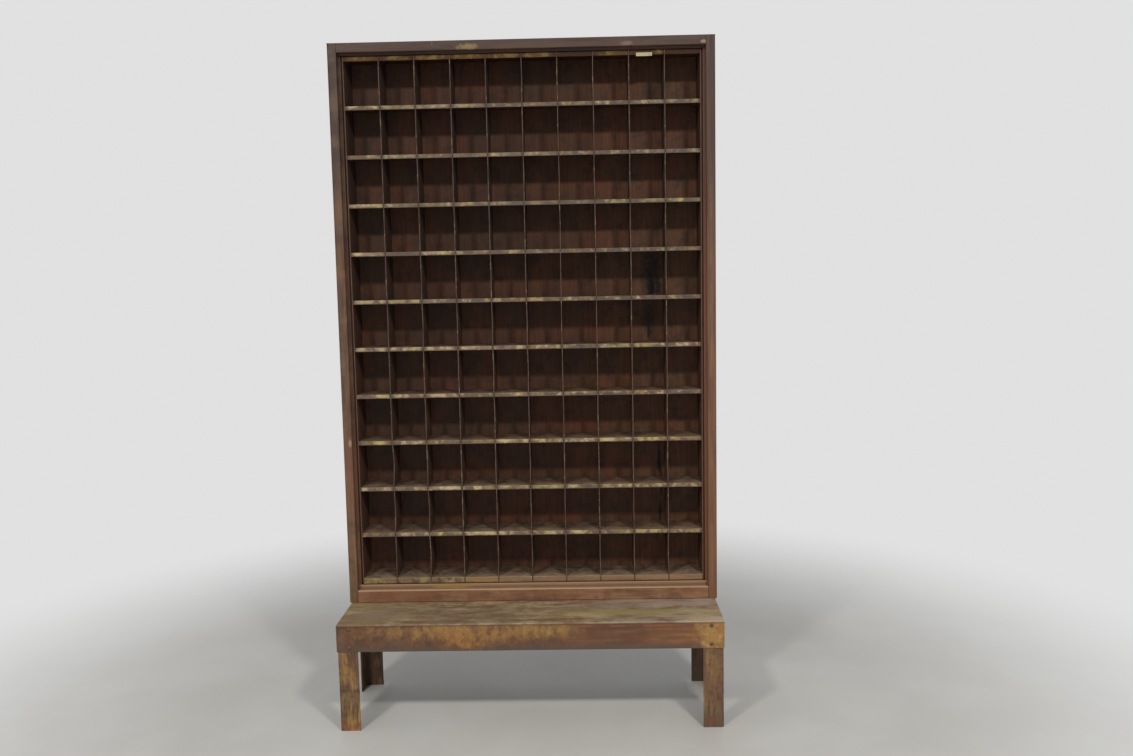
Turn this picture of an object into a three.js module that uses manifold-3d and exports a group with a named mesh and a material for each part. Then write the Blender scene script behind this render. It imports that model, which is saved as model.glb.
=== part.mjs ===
// Pigeonhole mail sorter of painted sheet steel: a lattice of slotted shelves and dividers in a folded
// case, bolted to a low stand with angle legs. Millimetres, +Z up, front towards -Y. The origin is on
// the floor below the middle of the stand.

import * as THREE from 'three';
import { mergeVertices } from 'three/addons/utils/BufferGeometryUtils.js';
import Module from 'manifold-3d';

// Fits and folds shared by the pieces
const SEAT_GAP = 0.3;
const SLOT_PLAY = 0.4;
const INNER_BEND = 0.8;
const BEND_STEPS = 2;

// Lattice of pigeonholes
const COLUMNS = 10;
const ROWS = 11;
const COLUMN_PITCH = 101.6;
const ROW_PITCH = 138.5;
const LATTICE_DEPTH = 110;
const LATTICE_SHEET = 1.2;
const SHELF_LIP = 11.5;
const SHELF_END_FLANGE = 10;
const CORNER_RELIEF = 4;
const TOP_LIP = 14;
const BOTTOM_LIP = 16.5;
const HEM_LENGTH = 9;
const HEM_GAP = 0.2;
const LINER_FLANGE = 16;

// Case around the lattice
const CASE_SHEET = 1.5;
const BACK_SHEET = 1.2;
const STILE_BEND = 3.5;
const STILE_FACE = 26;
const TOP_RAIL_FACE = 27;
const BOTTOM_RAIL_FACE = 36;
const FRAME_RETURN = 20;
const STILE_FLANGE = 7;
const TOP_FLANGE = 5.5;
const BOTTOM_FLANGE = 13;
const REAR_FLANGE = 16;
const SIDE_CLEARANCE = 5;
const TOP_CLEARANCE = 1;
const BOTTOM_CLEARANCE = 2.5;

// Stand below the case
const STAND_HEIGHT = 309;
const STAND_INSET = 5;
const LEDGE_DEPTH = 191;
const APRON_HEIGHT = 78;
const APRON_HEM = 10;
const TOP_EDGE = 5;
const STAND_SHEET = 1.5;
const TOP_BEND = 0.7;
const LEG_FLANGE = 57;
const LEG_THICKNESS = 3.2;
const LEG_BEND = 1.8;
const LEG_BOLT_INSET = 36;

// Round-head bolts with square nuts
const BOLT_DIAMETER = 6.35;
const HEAD_DIAMETER = 12;
const HEAD_HEIGHT = 3.2;
const NUT_WIDTH = 11;
const NUT_HEIGHT = 5;
const BOLT_TAIL = 2;
const NUT_CLEARANCE = 2;
const CASE_BOLT_MARGIN = 12;
const BOLT_SIDES = 10;
const DOME_STEPS = 3;

// Sizes that follow from those above
const hemBend = (LATTICE_SHEET + HEM_GAP) / 2;
const hemThickness = 2 * LATTICE_SHEET + HEM_GAP;
const tongueDepth = HEM_LENGTH + SLOT_PLAY;
const latticeHalf = (COLUMNS * COLUMN_PITCH) / 2;
const latticeHeight = ROWS * ROW_PITCH;
const latticeEdge = latticeHalf + hemThickness / 2;
const caseHalf = latticeEdge + SIDE_CLEARANCE + STILE_FLANGE + STILE_FACE;
const latticeFloor = BOTTOM_RAIL_FACE + BOTTOM_FLANGE + BOTTOM_CLEARANCE + BOTTOM_LIP;
const caseHeight = latticeFloor + latticeHeight + TOP_CLEARANCE + TOP_FLANGE + TOP_RAIL_FACE;
const backFace = FRAME_RETURN + LATTICE_DEPTH + SEAT_GAP;
const caseDepth = backFace + BACK_SHEET + SEAT_GAP + CASE_SHEET;
const standHalf = caseHalf - STAND_INSET;
const standDepth = LEDGE_DEPTH + caseDepth;
const caseFront = LEDGE_DEPTH - standDepth / 2;
const topCorner = STAND_SHEET + TOP_BEND;
const apronBase = STAND_HEIGHT - APRON_HEIGHT;
const legInset = STAND_SHEET + SEAT_GAP;
const legReach = legInset + LEG_FLANGE;
const legHeight = STAND_HEIGHT - topCorner - SEAT_GAP;
const legBoltDrop = TOP_EDGE + NUT_CLEARANCE + NUT_WIDTH / 2;
const holeDiameter = BOLT_DIAMETER + 2 * SLOT_PLAY;
const overcut = 2 * CASE_SHEET;

const wasm = await Module();
wasm.setup();

// Closed solid from a three.js geometry
function solidOf(geometry) {
  const bare = geometry.clone();
  bare.deleteAttribute('normal');
  bare.deleteAttribute('uv');
  const merged = mergeVertices(bare);
  const corners = merged.index.array;
  const triangles = [];
  for (let i = 0; i < corners.length; i += 3) {
    const [a, b, c] = corners.subarray(i, i + 3);
    if (a !== b && b !== c && c !== a) triangles.push(a, b, c);
  }
  return new wasm.Manifold(new wasm.Mesh({
    numProp: 3,
    vertProperties: new Float32Array(merged.attributes.position.array),
    triVerts: new Uint32Array(triangles),
  }));
}

// Geometry of a finished solid, with flat faces
function geometryOf(solid) {
  const mesh = solid.getMesh();
  const indexed = new THREE.BufferGeometry();
  indexed.setAttribute('position', new THREE.BufferAttribute(mesh.vertProperties, 3));
  indexed.setIndex(new THREE.BufferAttribute(mesh.triVerts, 1));
  const flat = indexed.toNonIndexed();
  flat.computeVertexNormals();
  return flat;
}

// Box between two corners
function box(low, high) {
  const size = high.map((value, axis) => value - low[axis]);
  const middle = high.map((value, axis) => (value + low[axis]) / 2);
  return solidOf(new THREE.BoxGeometry(...size).translate(...middle));
}

// Box on the left (-1) or right (+1) side, between two distances from the middle
function sideBox(side, near, far, [front, rear], [low, high]) {
  const [left, right] = side < 0 ? [-far, -near] : [near, far];
  return box([left, front, low], [right, rear, high]);
}

// Outline of a folded sheet along a centre line of [u, v, bend] corners
function foldedSheet(corners, sheet) {
  const points = corners.map(([u, v]) => new THREE.Vector2(u, v));
  const last = points.length - 1;
  const left = [];
  const right = [];
  const addPair = (point, heading) => {
    const side = new THREE.Vector2(-heading.y, heading.x).multiplyScalar(sheet / 2);
    left.push(point.clone().add(side));
    right.unshift(point.clone().sub(side));
  };
  const headingFrom = (i) => points[i + 1].clone().sub(points[i]).normalize();
  addPair(points[0], headingFrom(0));
  for (let i = 1; i < last; i += 1) {
    const into = headingFrom(i - 1);
    const out = headingFrom(i);
    const turn = Math.atan2(into.cross(out), into.dot(out));
    const bend = corners[i][2];
    const start = points[i].clone().addScaledVector(into, -bend * Math.tan(Math.abs(turn) / 2));
    const toCentre = new THREE.Vector2(-into.y, into.x).multiplyScalar(bend * Math.sign(turn));
    const centre = start.clone().add(toCentre);
    const origin = new THREE.Vector2();
    for (let step = 0; step <= BEND_STEPS; step += 1) {
      const angle = (turn * step) / BEND_STEPS;
      addPair(start.clone().rotateAround(centre, angle), into.clone().rotateAround(origin, angle));
    }
  }
  addPair(points[last], headingFrom(last - 1));
  return new THREE.Shape([...left, ...right]);
}

// Profile in X and Y, drawn upwards from a base height
function alongZ(shape, base, top) {
  const settings = { depth: top - base, bevelEnabled: false, curveSegments: BEND_STEPS / 2 };
  return solidOf(new THREE.ExtrudeGeometry(shape, settings).translate(0, 0, base));
}

// Profile in Y and Z, drawn out to both sides of the middle
function alongX(shape, half) {
  const settings = { depth: 2 * half, bevelEnabled: false, curveSegments: BEND_STEPS / 2 };
  const geometry = new THREE.ExtrudeGeometry(shape, settings).translate(0, 0, -half);
  const turn = new THREE.Matrix4().makeBasis(
    new THREE.Vector3(0, 1, 0),
    new THREE.Vector3(0, 0, 1),
    new THREE.Vector3(1, 0, 0),
  );
  return solidOf(geometry.applyMatrix4(turn));
}

// Round hole or peg along Z, centred on the origin
function roundBar(diameter, length) {
  const bar = new THREE.CylinderGeometry(diameter / 2, diameter / 2, length, BOLT_SIDES);
  return solidOf(bar.rotateX(Math.PI / 2));
}

function cutAll(solid, cutters) {
  return cutters.reduce((rest, cutter) => rest.subtract(cutter), solid);
}

// Numbers from first to last, both included
function range(first, last) {
  return Array.from({ length: last - first + 1 }, (_, i) => first + i);
}

const gridX = (line) => line * COLUMN_PITCH - latticeHalf;
const shelfTop = (row) => row * ROW_PITCH;
const latticeBend = INNER_BEND + LATTICE_SHEET / 2;
const caseBend = INNER_BEND + CASE_SHEET / 2;
const cornerBend = STILE_BEND + CASE_SHEET / 2;

// Space below the pigeonholes' floor, behind the tongue of an upright's folded front edge
function behindTongue() {
  return box([-caseHalf, tongueDepth, -BOTTOM_LIP - overcut], [caseHalf, backFace, SEAT_GAP]);
}

// Upright divider: folded front edge with a tongue below, and a slot from the rear for each shelf
function divider() {
  const outline = foldedSheet([
    [-hemBend, LATTICE_DEPTH],
    [-hemBend, LATTICE_SHEET / 2, hemBend],
    [hemBend, LATTICE_SHEET / 2, hemBend],
    [hemBend, HEM_LENGTH],
  ], LATTICE_SHEET);
  const blank = alongZ(outline, -BOTTOM_LIP, latticeHeight - LATTICE_SHEET - SEAT_GAP);
  const slots = range(1, ROWS - 1).map((row) => box(
    [-hemThickness, (LATTICE_DEPTH - SLOT_PLAY) / 2, shelfTop(row) - LATTICE_SHEET - SLOT_PLAY],
    [hemThickness, LATTICE_DEPTH + overcut, shelfTop(row) + SLOT_PLAY],
  ));
  return cutAll(blank, [behindTongue(), ...slots]);
}

// Slot that clears a divider's folded edge, from the front to a given depth
function dividerSlot(line, depth, low) {
  const reach = hemThickness / 2 + SLOT_PLAY;
  return box(
    [gridX(line) - reach, -overcut, -low - overcut],
    [gridX(line) + reach, depth, overcut],
  );
}

// Shelf between the end liners: front lip, end flanges, and a slot from the front for each divider
function shelf() {
  const half = latticeEdge - hemThickness - SEAT_GAP;
  const outline = foldedSheet([
    [LATTICE_DEPTH, -LATTICE_SHEET / 2],
    [LATTICE_SHEET / 2, -LATTICE_SHEET / 2, latticeBend],
    [LATTICE_SHEET / 2, -SHELF_LIP],
  ], LATTICE_SHEET);
  const endFlange = (side) => sideBox(
    side,
    half - LATTICE_SHEET,
    half,
    [CORNER_RELIEF, LATTICE_DEPTH - CORNER_RELIEF],
    [-SHELF_END_FLANGE, -LATTICE_SHEET / 2],
  );
  const blank = alongX(outline, half - LATTICE_SHEET / 2).add(endFlange(-1)).add(endFlange(1));
  const slotDepth = (LATTICE_DEPTH + SLOT_PLAY) / 2;
  return cutAll(blank, range(1, COLUMNS - 1).map((line) => dividerSlot(line, slotDepth, SHELF_LIP)));
}

// Side wall of the lattice: its folded front edge turns out behind the stile, as its rear flange does
function endLiner(side) {
  const wall = latticeHalf - hemBend;
  const fold = latticeHalf + hemBend;
  const cover = latticeEdge + SIDE_CLEARANCE + STILE_FLANGE / 2;
  const coverFace = HEM_LENGTH - LATTICE_SHEET / 2;
  const outline = foldedSheet([
    [side * (wall + LINER_FLANGE), LATTICE_DEPTH - LATTICE_SHEET / 2],
    [side * wall, LATTICE_DEPTH - LATTICE_SHEET / 2, latticeBend],
    [side * wall, LATTICE_SHEET / 2, hemBend],
    [side * fold, LATTICE_SHEET / 2, hemBend],
    [side * fold, coverFace, latticeBend],
    [side * cover, coverFace],
  ], LATTICE_SHEET);
  const blank = alongZ(outline, -BOTTOM_LIP, latticeHeight - LATTICE_SHEET - SEAT_GAP);
  return blank.subtract(behindTongue());
}

// Roof or floor of the lattice: rear flange up or down, and a lip notched for the folded front edges
function liner(flangeUp, lip, notchDepth) {
  const rear = LATTICE_DEPTH - LATTICE_SHEET / 2;
  const outline = foldedSheet([
    [rear, flangeUp ? LINER_FLANGE : -LINER_FLANGE],
    [rear, -LATTICE_SHEET / 2, latticeBend],
    [LATTICE_SHEET / 2, -LATTICE_SHEET / 2, latticeBend],
    [LATTICE_SHEET / 2, -lip],
  ], LATTICE_SHEET);
  const notches = range(0, COLUMNS).map((line) => dividerSlot(line, notchDepth, lip));
  return cutAll(alongX(outline, latticeEdge), notches);
}

// Side of the case: rear flange, wall, stile, its return and the narrow inner flange
function sidePanel(side) {
  const inner = caseHalf - STILE_FACE;
  const outline = foldedSheet([
    [side * (caseHalf - REAR_FLANGE), caseDepth - CASE_SHEET / 2],
    [side * (caseHalf - CASE_SHEET / 2), caseDepth - CASE_SHEET / 2, caseBend],
    [side * (caseHalf - CASE_SHEET / 2), CASE_SHEET / 2, cornerBend],
    [side * (inner + CASE_SHEET / 2), CASE_SHEET / 2, caseBend],
    [side * (inner + CASE_SHEET / 2), FRAME_RETURN + CASE_SHEET / 2, caseBend],
    [side * (inner - STILE_FLANGE), FRAME_RETURN + CASE_SHEET / 2],
  ], CASE_SHEET);
  const top = caseHeight - CASE_SHEET - SEAT_GAP;
  const flangeCut = (low, high) => (
    sideBox(side, inner - STILE_FLANGE - overcut, inner, [0, backFace], [low, high])
  );
  const railBottom = caseHeight - TOP_RAIL_FACE - TOP_FLANGE - SEAT_GAP;
  const railTop = BOTTOM_RAIL_FACE + BOTTOM_FLANGE + SEAT_GAP;
  return cutAll(alongZ(outline, 0, top), [
    flangeCut(railBottom, caseHeight + overcut),
    flangeCut(-overcut, railTop),
  ]);
}

// Space that a stile and a rear flange of the side panel need in the top and bottom panels
function sideClearance(side, low, high) {
  const block = (inner, front, rear) => (
    sideBox(side, inner, caseHalf + overcut, [front, rear], [low, high])
  );
  const stileRear = FRAME_RETURN + CASE_SHEET + SEAT_GAP;
  const flangeFront = caseDepth - CASE_SHEET - SEAT_GAP;
  return [
    block(caseHalf - STILE_FACE - SEAT_GAP, -overcut, stileRear),
    block(caseHalf - REAR_FLANGE - SEAT_GAP, flangeFront, caseDepth + overcut),
  ];
}

// Top of the case: its sheet covers the side panels, and its rail fits between the stiles
function topPanel() {
  const rail = caseHeight - TOP_RAIL_FACE;
  const outline = foldedSheet([
    [caseDepth - CASE_SHEET / 2, caseHeight - REAR_FLANGE],
    [caseDepth - CASE_SHEET / 2, caseHeight - CASE_SHEET / 2, caseBend],
    [CASE_SHEET / 2, caseHeight - CASE_SHEET / 2, caseBend],
    [CASE_SHEET / 2, rail + CASE_SHEET / 2, caseBend],
    [FRAME_RETURN + CASE_SHEET / 2, rail + CASE_SHEET / 2, caseBend],
    [FRAME_RETURN + CASE_SHEET / 2, rail - TOP_FLANGE],
  ], CASE_SHEET);
  const low = rail - TOP_FLANGE - overcut;
  const high = caseHeight - CASE_SHEET;
  return cutAll(alongX(outline, caseHalf), [
    ...sideClearance(-1, low, high),
    ...sideClearance(1, low, high),
  ]);
}

// Bottom of the case, between the side panels, with holes for the bolts into the stand
function bottomPanel() {
  const outline = foldedSheet([
    [caseDepth - CASE_SHEET / 2, REAR_FLANGE],
    [caseDepth - CASE_SHEET / 2, CASE_SHEET / 2, caseBend],
    [CASE_SHEET / 2, CASE_SHEET / 2, caseBend],
    [CASE_SHEET / 2, BOTTOM_RAIL_FACE - CASE_SHEET / 2, caseBend],
    [FRAME_RETURN + CASE_SHEET / 2, BOTTOM_RAIL_FACE - CASE_SHEET / 2, caseBend],
    [FRAME_RETURN + CASE_SHEET / 2, BOTTOM_RAIL_FACE + BOTTOM_FLANGE],
  ], CASE_SHEET);
  const high = BOTTOM_RAIL_FACE + BOTTOM_FLANGE + overcut;
  const boltHoles = caseBoltPlaces().map(([x, y]) => boltHole().translate([x, y, 0]));
  return cutAll(alongX(outline, caseHalf - CASE_SHEET - SEAT_GAP), [
    ...sideClearance(-1, -overcut, high),
    ...sideClearance(1, -overcut, high),
    ...boltHoles,
  ]);
}

function backPanel() {
  const half = caseHalf - CASE_SHEET - SEAT_GAP;
  const edge = CASE_SHEET + SEAT_GAP;
  return box([-half, backFace, edge], [half, backFace + BACK_SHEET, caseHeight - edge]);
}

// Where bolts hold the case on the stand, in the case's own frame
function caseBoltPlaces() {
  const margin = CASE_BOLT_MARGIN + HEAD_DIAMETER / 2;
  const x = standHalf - legReach - margin;
  const front = FRAME_RETURN + CASE_SHEET + margin;
  const rear = backFace - margin;
  return [[-x, front], [x, front], [-x, rear], [x, rear]];
}

// Cutter for a bolt hole along Z, through the sheets on both sides of the origin
function boltHole() {
  return roundBar(holeDiameter, LEG_FLANGE);
}

// Space between a bolt's head and its nut: the sheets, and a gap at each of their faces
function gripOf(...sheets) {
  return sheets.reduce((sum, sheet) => sum + sheet, (sheets.length + 1) * SEAT_GAP);
}

// Bolt along Z with the underside of its head at the origin, and a nut that closes the given grip
function bolt(grip) {
  const tail = -grip - NUT_HEIGHT - BOLT_TAIL;
  const dome = range(0, DOME_STEPS).map((step) => {
    const angle = (step / DOME_STEPS) * (Math.PI / 2);
    return new THREE.Vector2((HEAD_DIAMETER / 2) * Math.sin(angle), HEAD_HEIGHT * Math.cos(angle));
  });
  dome[0].x = 0;
  dome[DOME_STEPS].y = 0;
  const shank = [
    new THREE.Vector2(BOLT_DIAMETER / 2, 0),
    new THREE.Vector2(BOLT_DIAMETER / 2, tail),
    new THREE.Vector2(0, tail),
  ];
  const profile = [...dome, ...shank].reverse();
  const turned = solidOf(new THREE.LatheGeometry(profile, BOLT_SIDES).rotateX(Math.PI / 2));
  const nutHalf = NUT_WIDTH / 2;
  return turned.add(box([-nutHalf, -nutHalf, -grip - NUT_HEIGHT], [nutHalf, nutHalf, -grip]));
}

// Inverted U with rounded upper corners, standing on the line v = 0
function pressedProfile(width, height, radius) {
  const half = width / 2;
  const shape = new THREE.Shape();
  shape.moveTo(half, 0);
  shape.lineTo(half, height - radius);
  shape.absarc(half - radius, height - radius, radius, 0, Math.PI / 2);
  shape.lineTo(radius - half, height);
  shape.absarc(radius - half, height - radius, radius, Math.PI / 2, Math.PI);
  shape.lineTo(-half, 0);
  return shape;
}

// Rectangle with rounded corners, centred on the origin
function roundedPlan(width, depth, radius) {
  const [x, y] = [width / 2 - radius, depth / 2 - radius];
  const shape = new THREE.Shape();
  const quarter = Math.PI / 2;
  shape.absarc(x, y, radius, 0, quarter);
  shape.absarc(-x, y, radius, quarter, 2 * quarter);
  shape.absarc(-x, -y, radius, 2 * quarter, 3 * quarter);
  shape.absarc(x, -y, radius, 3 * quarter, 4 * quarter);
  return shape;
}

// Tray-shaped solid with softened edges on all sides and its open side down
function pressedBlock(width, depth, height, radius) {
  const across = alongX(pressedProfile(depth, height, radius), width / 2);
  const along = alongX(pressedProfile(width, height, radius), depth / 2).rotate([0, 0, 90]);
  return across.intersect(along).intersect(alongZ(roundedPlan(width, depth, radius), 0, height));
}

// Middle of each leg bolt on the faces of the stand, with the direction its head points to
function legBoltPlaces() {
  const heights = [STAND_HEIGHT - legBoltDrop, apronBase + legBoltDrop];
  const places = [];
  for (const [sideName, sideX] of [['left', -1], ['right', 1]]) {
    for (const [endName, endY] of [['front', -1], ['rear', 1]]) {
      heights.forEach((z, level) => {
        const label = `${endName}_${sideName}_${level === 0 ? 'upper' : 'lower'}`;
        const alongFace = endY * (standDepth / 2 - LEG_BOLT_INSET);
        const acrossFace = sideX * (standHalf - LEG_BOLT_INSET);
        places.push({
          name: `${label}_leg_bolt_${endName}_face`,
          point: [acrossFace, endY * (standDepth / 2 + SEAT_GAP), z],
          axis: [0, endY, 0],
        });
        places.push({
          name: `${label}_leg_bolt_side_face`,
          point: [sideX * (standHalf + SEAT_GAP), alongFace, z],
          axis: [sideX, 0, 0],
        });
      });
    }
  }
  return places;
}

// Turn that brings +Z onto an axis
function turnTo(axis) {
  return new THREE.Quaternion().setFromUnitVectors(new THREE.Vector3(0, 0, 1), new THREE.Vector3(...axis));
}

// Hole through an apron and leg at a bolt's place
function legBoltHole({ point, axis }) {
  const bar = boltHole();
  const turned = axis[0] === 0 ? bar.rotate([90, 0, 0]) : bar.rotate([0, 90, 0]);
  return turned.translate(point);
}

// Top of the stand: one sheet with its edges turned down, and holes for the case bolts
function standTop() {
  const outer = pressedBlock(2 * standHalf, standDepth, TOP_EDGE, topCorner);
  const hollow = pressedBlock(
    2 * (standHalf - STAND_SHEET),
    standDepth - 2 * STAND_SHEET,
    TOP_EDGE - STAND_SHEET + overcut,
    TOP_BEND,
  ).translate([0, 0, -overcut]);
  const blank = outer.subtract(hollow).translate([0, 0, STAND_HEIGHT - TOP_EDGE]);
  return cutAll(blank, caseBoltPlaces().map(([x, y]) => (
    boltHole().translate([x, y + caseFront, STAND_HEIGHT])
  )));
}

// Apron along X below one edge of the top, standing on Y = 0, with a hem inside between the legs
function apron(length, hemLength) {
  const top = STAND_HEIGHT - TOP_EDGE - SEAT_GAP;
  const plate = box([-length / 2, 0, apronBase], [length / 2, STAND_SHEET, top]);
  const hem = box(
    [-hemLength / 2, STAND_SHEET / 2, apronBase],
    [hemLength / 2, 2 * STAND_SHEET, apronBase + APRON_HEM],
  );
  return plate.add(hem);
}

// Front (-1) or rear (+1) apron, over the full width of the stand
function endApron(endY) {
  const blank = apron(2 * standHalf, 2 * (standHalf - legReach - SEAT_GAP));
  const placed = blank.translate([0, -standDepth / 2, 0]).rotate([0, 0, endY < 0 ? 0 : 180]);
  return cutAll(placed, legBoltPlaces().map(legBoltHole));
}

// Left (-1) or right (+1) apron, between the front and rear ones
function sideApron(sideX) {
  const length = standDepth - 2 * (STAND_SHEET + SEAT_GAP);
  const blank = apron(length, standDepth - 2 * (legReach + SEAT_GAP));
  const placed = blank.translate([0, -standHalf, 0]).rotate([0, 0, 90 * sideX]);
  return cutAll(placed, legBoltPlaces().map(legBoltHole));
}

// Angle leg at the front left corner
function leg() {
  const skin = LEG_THICKNESS / 2;
  const outline = foldedSheet([
    [LEG_FLANGE, skin],
    [skin, skin, LEG_BEND + skin],
    [skin, LEG_FLANGE],
  ], LEG_THICKNESS);
  const corner = [-standHalf + legInset, -standDepth / 2 + legInset, 0];
  return alongZ(outline, 0, legHeight).translate(corner);
}

// Paint and metal of the pieces
const finishes = {
  brownPaint: { color: 0x4a2f20, roughness: 0.55, metalness: 0.0 },
  darkPaint: { color: 0x3a2619, roughness: 0.6, metalness: 0.0 },
  wornOchre: { color: 0x8a5a26, roughness: 0.6, metalness: 0.0 },
  darkSteel: { color: 0x2b2522, roughness: 0.5, metalness: 0.8 },
};

function piece(name, solid, finish) {
  const mesh = new THREE.Mesh(geometryOf(solid), new THREE.MeshStandardMaterial(finishes[finish]));
  mesh.name = name;
  return mesh;
}

function makeLattice() {
  const lattice = new THREE.Group();
  const twoDigits = (number) => String(number).padStart(2, '0');
  const dividerSolid = divider();
  const shelfSolid = shelf();
  range(1, COLUMNS - 1).forEach((line) => {
    const mesh = piece(`divider_${twoDigits(line)}`, dividerSolid, 'darkPaint');
    mesh.position.x = gridX(line);
    lattice.add(mesh);
  });
  range(1, ROWS - 1).forEach((row) => {
    const mesh = piece(`shelf_${twoDigits(row)}`, shelfSolid, 'darkPaint');
    mesh.position.z = shelfTop(row);
    lattice.add(mesh);
  });
  lattice.add(piece('left_end_liner', endLiner(-1), 'darkPaint'));
  lattice.add(piece('right_end_liner', endLiner(1), 'darkPaint'));
  lattice.add(piece('bottom_liner', liner(false, BOTTOM_LIP, tongueDepth + SLOT_PLAY), 'darkPaint'));
  const roofNotch = LATTICE_SHEET + INNER_BEND + SLOT_PLAY;
  const roof = piece('top_liner', liner(true, TOP_LIP, roofNotch), 'darkPaint');
  roof.position.z = latticeHeight;
  lattice.add(roof);
  return lattice;
}

function makeCase() {
  const shell = new THREE.Group();
  shell.add(piece('case_left_side', sidePanel(-1), 'brownPaint'));
  shell.add(piece('case_right_side', sidePanel(1), 'brownPaint'));
  shell.add(piece('case_top', topPanel(), 'brownPaint'));
  shell.add(piece('case_bottom', bottomPanel(), 'brownPaint'));
  shell.add(piece('case_back', backPanel(), 'darkPaint'));
  const boltSolid = bolt(gripOf(CASE_SHEET, STAND_SHEET));
  caseBoltPlaces().forEach(([x, y], i) => {
    const mesh = piece(`case_bolt_${i + 1}`, boltSolid, 'darkSteel');
    mesh.position.set(x, y, CASE_SHEET + SEAT_GAP);
    shell.add(mesh);
  });
  const lattice = makeLattice();
  lattice.position.set(0, FRAME_RETURN, latticeFloor);
  shell.add(lattice);
  return shell;
}

function makeStand() {
  const stand = new THREE.Group();
  stand.add(piece('stand_top', standTop(), 'wornOchre'));
  stand.add(piece('front_apron', endApron(-1), 'wornOchre'));
  stand.add(piece('rear_apron', endApron(1), 'wornOchre'));
  stand.add(piece('left_apron', sideApron(-1), 'wornOchre'));
  stand.add(piece('right_apron', sideApron(1), 'wornOchre'));
  const blank = leg();
  for (const [name, sideX, endY] of [
    ['front_left_leg', -1, -1],
    ['front_right_leg', 1, -1],
    ['rear_left_leg', -1, 1],
    ['rear_right_leg', 1, 1],
  ]) {
    const placed = blank.scale([-sideX, -endY, 1]);
    stand.add(piece(name, cutAll(placed, legBoltPlaces().map(legBoltHole)), 'wornOchre'));
  }
  const boltSolid = bolt(gripOf(STAND_SHEET, LEG_THICKNESS));
  for (const { name, point, axis } of legBoltPlaces()) {
    const mesh = piece(name, boltSolid, 'darkSteel');
    mesh.position.set(...point);
    mesh.quaternion.copy(turnTo(axis));
    stand.add(mesh);
  }
  return stand;
}

const sorter = new THREE.Group();
const shell = makeCase();
shell.position.set(0, caseFront, STAND_HEIGHT + SEAT_GAP);
sorter.add(shell, makeStand());

export default sorter;
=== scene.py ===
"""Looks of a pigeonhole mail sorter: worn brown paint on folded sheet steel, dusty shelves and a scuffed stand."""

import math
import random

import bmesh
import bpy
from mathutils import Matrix, Vector


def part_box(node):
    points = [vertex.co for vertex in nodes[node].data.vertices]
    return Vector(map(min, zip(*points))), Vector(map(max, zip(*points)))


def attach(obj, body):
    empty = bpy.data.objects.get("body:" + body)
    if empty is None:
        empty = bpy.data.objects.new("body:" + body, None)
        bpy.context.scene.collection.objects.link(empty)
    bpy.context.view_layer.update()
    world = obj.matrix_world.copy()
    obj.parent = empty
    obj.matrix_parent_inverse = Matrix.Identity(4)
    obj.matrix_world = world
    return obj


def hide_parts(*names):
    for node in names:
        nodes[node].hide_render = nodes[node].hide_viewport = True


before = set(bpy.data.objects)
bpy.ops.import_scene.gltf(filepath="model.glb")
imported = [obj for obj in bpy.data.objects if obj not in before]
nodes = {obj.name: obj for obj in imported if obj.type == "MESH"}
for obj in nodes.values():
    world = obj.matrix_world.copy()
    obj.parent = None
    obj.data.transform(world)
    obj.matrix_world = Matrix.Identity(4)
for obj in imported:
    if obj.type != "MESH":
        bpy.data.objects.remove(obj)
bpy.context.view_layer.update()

MM = 0.001

# Camera and lights
CAMERA_PLACE = Vector((0.1684, -2.8363, 1.2700))
CAMERA_YAW = math.radians(1.115)
CAMERA_PITCH = math.radians(-5.904)
CAMERA_ROLL = math.radians(1.088)
CAMERA_LENS = 31.5
SENSOR_WIDTH = 36.0
LAMPS = {
    "left_lamp": ((-1.41, -2.70, 3.30), 77.0),
    "right_lamp": ((1.42, -2.70, 3.30), 88.0),
}
LAMP_WIDTH = 0.40
LAMP_COLOUR = (1.0, 0.965, 0.90)
ROOM_COLOUR = (0.98, 1.0, 1.03, 1.0)
ROOM_LIGHT = 0.52
BACKDROP_LIGHT = 0.75
FLOOR_SIZE = 16.0
FLOOR_CLEAR_RADIUS = 0.9
FLOOR_FADE_RADIUS = 2.4

# Places on the object, from the frame
COLUMNS = 10
ROWS = 11
STILE_FACE = 26 * MM
BOTTOM_FLANGE = 13 * MM
liner_low, liner_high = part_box("bottom_liner")
roof_low, roof_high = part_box("top_liner")
shelf_low, shelf_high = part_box("shelf_01")
case_low, case_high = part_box("case_left_side")
rail_low, rail_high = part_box("case_bottom")
stand_low, stand_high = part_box("stand_top")
apron_low, apron_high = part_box("front_apron")
back_low, back_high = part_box("case_back")
lattice_front = shelf_low.y
lattice_floor = liner_high.z
lip_height = shelf_high.z - shelf_low.z
row_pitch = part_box("shelf_02")[1].z - shelf_high.z
column_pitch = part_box("divider_02")[0].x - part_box("divider_01")[0].x
lattice_half = COLUMNS * column_pitch / 2
case_front = case_low.y
stile_middle = -case_low.x - STILE_FACE / 2
stand_front = stand_low.y
return_top = rail_high.z - BOTTOM_FLANGE

# Round-head bolts with square nuts
HEAD_WIDTH = 12.0 * MM
HEAD_HEIGHT = 3.2 * MM
SHANK_WIDTH = 6.35 * MM
NUT_WIDTH = 11.0 * MM
NUT_HEIGHT = 5.0 * MM
BOLT_TAIL = 2.0 * MM

# Bows of the dividers between the shelves
BOW_SEED = 11
BOW_SPREAD = 0.8 * MM
BOW_REACH = 0.5
BANDS_PER_ROW = 8
SHEET_CUTS = (20 * MM, 40 * MM, 62 * MM, 86 * MM)
KNOCKED_ROWS = {
    ("divider_01", 2): 3.2 * MM,
    ("divider_01", 1): 1.5 * MM,
    ("divider_02", 1): 2.0 * MM,
    ("divider_02", 0): 2.0 * MM,
}

# Card stuck on the roof's lip
CARD_MIDDLE = (0.3486, lattice_front - 0.4 * MM, 1.8879)
CARD_SIZE = (45 * MM, 10 * MM)
CARD_LIFT = 1.2 * MM
CARD_THICKNESS = 0.3 * MM


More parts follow.
